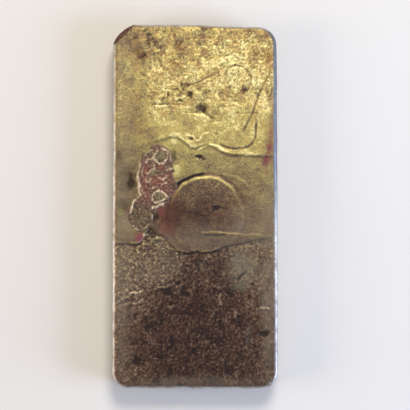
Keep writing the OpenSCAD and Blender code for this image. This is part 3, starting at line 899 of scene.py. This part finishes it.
edge_top = [on_edge[i] for i in range(edge_count)]
foot_first = crust_x.size
crust_points = [*zip(crust_x, crust_y, crust_z)]
crust_points += [(crust_x[i], crust_y[i], crust_foot) for i in edge_top]
crust_faces = list(triangles)
for i, top_here in enumerate(edge_top):
    ahead = (i + 1) % edge_count
    crust_faces.append((top_here, edge_top[ahead], foot_first + ahead, foot_first + i))
foot_flat = crust_flat[:edge_count]
_, _, triangles, sources, _, _ = geometry.delaunay_2d_cdt(foot_flat, edge_loop, [], 1, 1e-6)
for triangle in triangles:
    crust_faces.append(tuple(foot_first + sources[corner][0] for corner in reversed(triangle)))
crust_mesh = bpy.data.meshes.new("slag_crust")
crust_mesh.from_pydata((np.array(crust_points) * MM).tolist(), [], crust_faces)
CUPRITE_SPOTS = [
    (-15.6, 11.4, 1.6, 2.2, 0, 0.9), (-10.8, 12, 1.6, 1.2, 0, 0.8), (-16.4, 6.8, 1.4, 2.6, 0, 0.8),
    (-12.2, 7.6, 2.8, 2.2, 0, 0.9), (-15.6, 3, 1.3, 2.2, 0, 0.8), (-8, 8.8, 2, 2, 0, 0.6),
    (-9, 5, 2, 1.6, 0, 0.6), (-11, -0.8, 2.6, 0.8, 10, 0.6),
]
OLIVE_SPOTS = [
    (-11, 15.7, 1.6, 1.9, 0, 1.0), (-11.5, 2.6, 1.5, 1.3, 30, 1.0), (-13.4, 10.6, 1.6, 1.2, 30, 0.8),
    (-10.7, 10.2, 0.8, 0.6, 0, 0.8), (-8.6, 12.7, 1, 0.8, 0, 0.8), (-14, 17, 2, 1.6, 0, 0.4),
]
crust_masks = {
    "cuprite": with_spots(0.0, bent_x, bent_y, CUPRITE_SPOTS),
    "olive": with_spots(0.5 * tongue, bent_x, bent_y, OLIVE_SPOTS),
}
on_ridge = np.clip(7 * ridge, 0, 1)
# pale: paler slag on the ridges, with a painted highlight
crust_masks["pale_slag_and_painted_highlight"] = on_ridge + 0.3 * rise(wormy, 0.8, 1) * (1 - 0.3 * tongue) + 0.2 * crust_grain
# painted shade in the pits and cracks, dark slag where the grain is low, darker round the edge, and the
# tongue's dark squiggles
dark_slag_and_painted_shade = 6 * (pit + crack) + 0.8 * rise(-crust_grain, 0.12, 0.4) + 0.7 * rise(0.5 - inward, 0, 0.4)
dark_slag_and_painted_shade += 1.1 * tongue * rise(creases(crust_x, 1.3 * crust_y, 1.5, 77), 0.45, 0.85)
crust_masks["dark_slag_and_painted_shade"] = dark_slag_and_painted_shade * (1 - 0.9 * on_ridge)
for name, values in crust_masks.items():
    whole = np.zeros(len(crust_points))
    whole[:crust_x.size] = np.clip(values, 0, 1)
    keep_values(crust_mesh, name, whole)
work = bmesh.new()
work.from_mesh(crust_mesh)
finish_mesh(work, crust_mesh)
slag_crust = add_object("slag_crust", crust_mesh)


# Glassy slag: maroon-brown, red where cuprite grew, olive where it is glass, and pale on its rolled ridges,
# partly a painted highlight; painted shade darkens its pits and cracks.
# Its flecks are drawn several times as coarse as the real crystals, which are too fine to show.
def frozen_slag():
    material, tree = start_material("frozen_slag_with_cuprite")
    place = add_node(tree, "ShaderNodeTexCoord", {}, {}).outputs["Object"]
    fleck_size = 0.5
    settings = {"Scale": 1 / (fleck_size * MM), "Detail": 4.0, "Roughness": 0.7}
    fleck = add_node(tree, "ShaderNodeTexNoise", {}, {"Vector": place, **settings}).outputs["Fac"]
    limits = {"From Min": 0.3, "From Max": 0.6}
    uneven = add_node(tree, "ShaderNodeMapRange", {}, {"Value": fleck, **limits}).outputs["Result"]
    colour = add_node(
        tree, "ShaderNodeMix", {"data_type": "RGBA"}, {0: fleck, 6: srgb("#2b1a16"), 7: srgb("#8a6350")}
    ).outputs[2]
    for name, most, code in [
        ("cuprite", 0.8, "#863f33"), ("olive", 0.8, "#77774a"), ("pale_slag_and_painted_highlight", 0.95, "#dcc8a0"),
        ("dark_slag_and_painted_shade", 0.95, "#1a1211"),
    ]:
        mask = add_node(tree, "ShaderNodeAttribute", {"attribute_name": name}, {}).outputs["Fac"]
        share = add_node(tree, "ShaderNodeMath", {"operation": "MULTIPLY"}, {0: mask, 1: uneven}).outputs[0]
        share = add_node(tree, "ShaderNodeMath", {"operation": "MULTIPLY"}, {0: share, 1: most}).outputs[0]
        colour = add_node(
            tree, "ShaderNodeMix", {"data_type": "RGBA"}, {0: share, 6: colour, 7: srgb(code)}
        ).outputs[2]
    bump = {"Strength": 0.7, "Distance": 0.12 * MM}
    finish_material(tree, fleck, bump, {"Base Color": colour, "Roughness": 0.4, "Metallic": 0.3})
    return material


crust_mesh.materials.append(frozen_slag())
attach(slag_crust, "root")

# -------------------------------------------------------------------------- The dross beads
# Small beads of pale metal that were caught in the first pour's skin as it froze. Each is half sunk in
# the skin, and nodes scatter them over the rough part of the bar.
scatter = bpy.data.node_groups.new("scatter_beads", "GeometryNodeTree")
scatter.interface.new_socket("Skin", in_out="INPUT", socket_type="NodeSocketGeometry")
BEAD_INPUTS = {
    "Beads per Square Metre": ("NodeSocketFloat", 0.13 / MM ** 2),
    "Smallest Radius": ("NodeSocketFloat", 0.07 * MM),
    "Largest Radius": ("NodeSocketFloat", 0.2 * MM),
    "Seed": ("NodeSocketInt", 5),
    "Metal": ("NodeSocketMaterial", None),
}
for name, (kind, _) in BEAD_INPUTS.items():
    scatter.interface.new_socket(name, in_out="INPUT", socket_type=kind)
scatter.interface.new_socket("Beads", in_out="OUTPUT", socket_type="NodeSocketGeometry")
given = add_node(scatter, "NodeGroupInput", {}, {}).outputs
where = add_node(
    scatter, "GeometryNodeInputNamedAttribute", {"data_type": "FLOAT"}, {"Name": "beaded"}
).outputs["Attribute"]
density = add_node(
    scatter, "ShaderNodeMath", {"operation": "MULTIPLY"}, {0: where, 1: given["Beads per Square Metre"]}
).outputs[0]
scattered = add_node(
    scatter, "GeometryNodeDistributePointsOnFaces", {},
    {"Mesh": given["Skin"], "Density": density, "Seed": given["Seed"]},
).outputs["Points"]
ball = add_node(scatter, "GeometryNodeMeshIcoSphere", {}, {"Radius": 1.0, "Subdivisions": 2}).outputs["Mesh"]
ball = add_node(scatter, "GeometryNodeSetShadeSmooth", {}, {"Geometry": ball}).outputs["Geometry"]
ball = add_node(
    scatter, "GeometryNodeTransform", {}, {"Geometry": ball, "Scale": (1.0, 1.0, 0.7)}
).outputs["Geometry"]
radius = add_node(
    scatter, "FunctionNodeRandomValue", {"data_type": "FLOAT"},
    {2: given["Smallest Radius"], 3: given["Largest Radius"], "Seed": given["Seed"]},
).outputs[1]
beads = add_node(
    scatter, "GeometryNodeInstanceOnPoints", {}, {"Points": scattered, "Instance": ball, "Scale": radius}
).outputs["Instances"]
beads = add_node(scatter, "GeometryNodeRealizeInstances", {}, {"Geometry": beads}).outputs["Geometry"]
beads = add_node(
    scatter, "GeometryNodeSetMaterial", {}, {"Geometry": beads, "Material": given["Metal"]}
).outputs["Geometry"]
add_node(scatter, "NodeGroupOutput", {}, {"Beads": beads})

# Pale beads of alloy, tarnished but bright against the umber skin
bead_metal = bpy.data.materials.new("tarnished_alloy_beads")
bead_metal.use_nodes = True
bead_shader = bead_metal.node_tree.nodes["Principled BSDF"]
bead_shader.inputs["Base Color"].default_value = srgb("#a48f72")
bead_shader.inputs["Metallic"].default_value = 1.0
bead_shader.inputs["Roughness"].default_value = 0.45

source = add_object("bead_source", ingot_mesh)
modifier = source.modifiers.new("scatter", "NODES")
modifier.node_group = scatter
for socket in scatter.interface.items_tree:
    if socket.in_out == "INPUT" and socket.name in BEAD_INPUTS:
        value = BEAD_INPUTS[socket.name][1]
        modifier[socket.identifier] = bead_metal if value is None else value
scene_state = bpy.context.evaluated_depsgraph_get()
bead_mesh = bpy.data.meshes.new_from_object(source.evaluated_get(scene_state))
bead_mesh.name = "dross_beads"
bpy.data.objects.remove(source)
dross_beads = add_object("dross_beads", bead_mesh)
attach(dross_beads, "root")

# ------------------------------------------------------- The floor, the lights and the camera
# They aren't part of the object. The floor is a pale matt sheet at the level of the underside, and soft
# lights stand round the bar.
floor_half = 6.0
floor_mesh = bpy.data.meshes.new("floor")
floor_corners = [(-1, -1, 0), (1, -1, 0), (1, 1, 0), (-1, 1, 0)]
floor_mesh.from_pydata([Vector(corner) * floor_half for corner in floor_corners], [], [(0, 1, 2, 3)])
floor = add_object("floor", floor_mesh)
floor_paint = bpy.data.materials.new("matt_floor_paint")
floor_paint.use_nodes = True
floor_shader = floor_paint.node_tree.nodes["Principled BSDF"]
floor_shader.inputs["Base Color"].default_value = srgb("#d6d3ce")
floor_shader.inputs["Roughness"].default_value = 0.85
floor_mesh.materials.append(floor_paint)

# Each soft light: place and target in metres, size, power in watts and colour
LIGHTS = [
    ("key_light", (0.10, 0.52, 0.60), (0, 0.01, 0), 0.30, 5.0, "#fff8ec"),
    ("cool_light", (0.60, -0.16, 0.20), (0, 0, 0), 0.34, 6.4, "#c0d6ff"),
    ("warm_light", (-0.62, -0.1, 0.20), (0, 0, 0), 0.34, 3.0, "#fff0e2"),
]
for name, place, target, size, power, code in LIGHTS:
    lamp = bpy.data.lights.new(name, "AREA")
    lamp.size = size
    lamp.energy = power
    lamp.color = srgb(code)[:3]
    light = add_object(name, lamp)
    light.location = place
    light.rotation_euler = (Vector(target) - Vector(place)).to_track_quat("-Z", "Y").to_euler()

world = bpy.data.worlds.new("studio")
world.use_nodes = True
world.node_tree.nodes["Background"].inputs["Color"].default_value = srgb("#e8e8ec")
world.node_tree.nodes["Background"].inputs["Strength"].default_value = 0.35
bpy.context.scene.world = world
bpy.context.scene.view_settings.view_transform = "Standard"

# The camera looks down on the bar and leans a few degrees towards its near end
camera_distance = 0.40
camera_lean = math.radians(3.2)
frame_width = 131.0 * MM  # seen from side to side at the bar's surface
aim = Vector((3.2 * MM, 0.04 * MM, second_level * MM))
camera_data = bpy.data.cameras.new("camera")
camera_data.lens = camera_data.sensor_width * camera_distance / frame_width
camera = add_object("camera", camera_data)
camera.location = aim + camera_distance * Vector((0, -math.sin(camera_lean), math.cos(camera_lean)))
camera.rotation_euler = (camera_lean, 0, 0)
bpy.context.scene.camera = camera
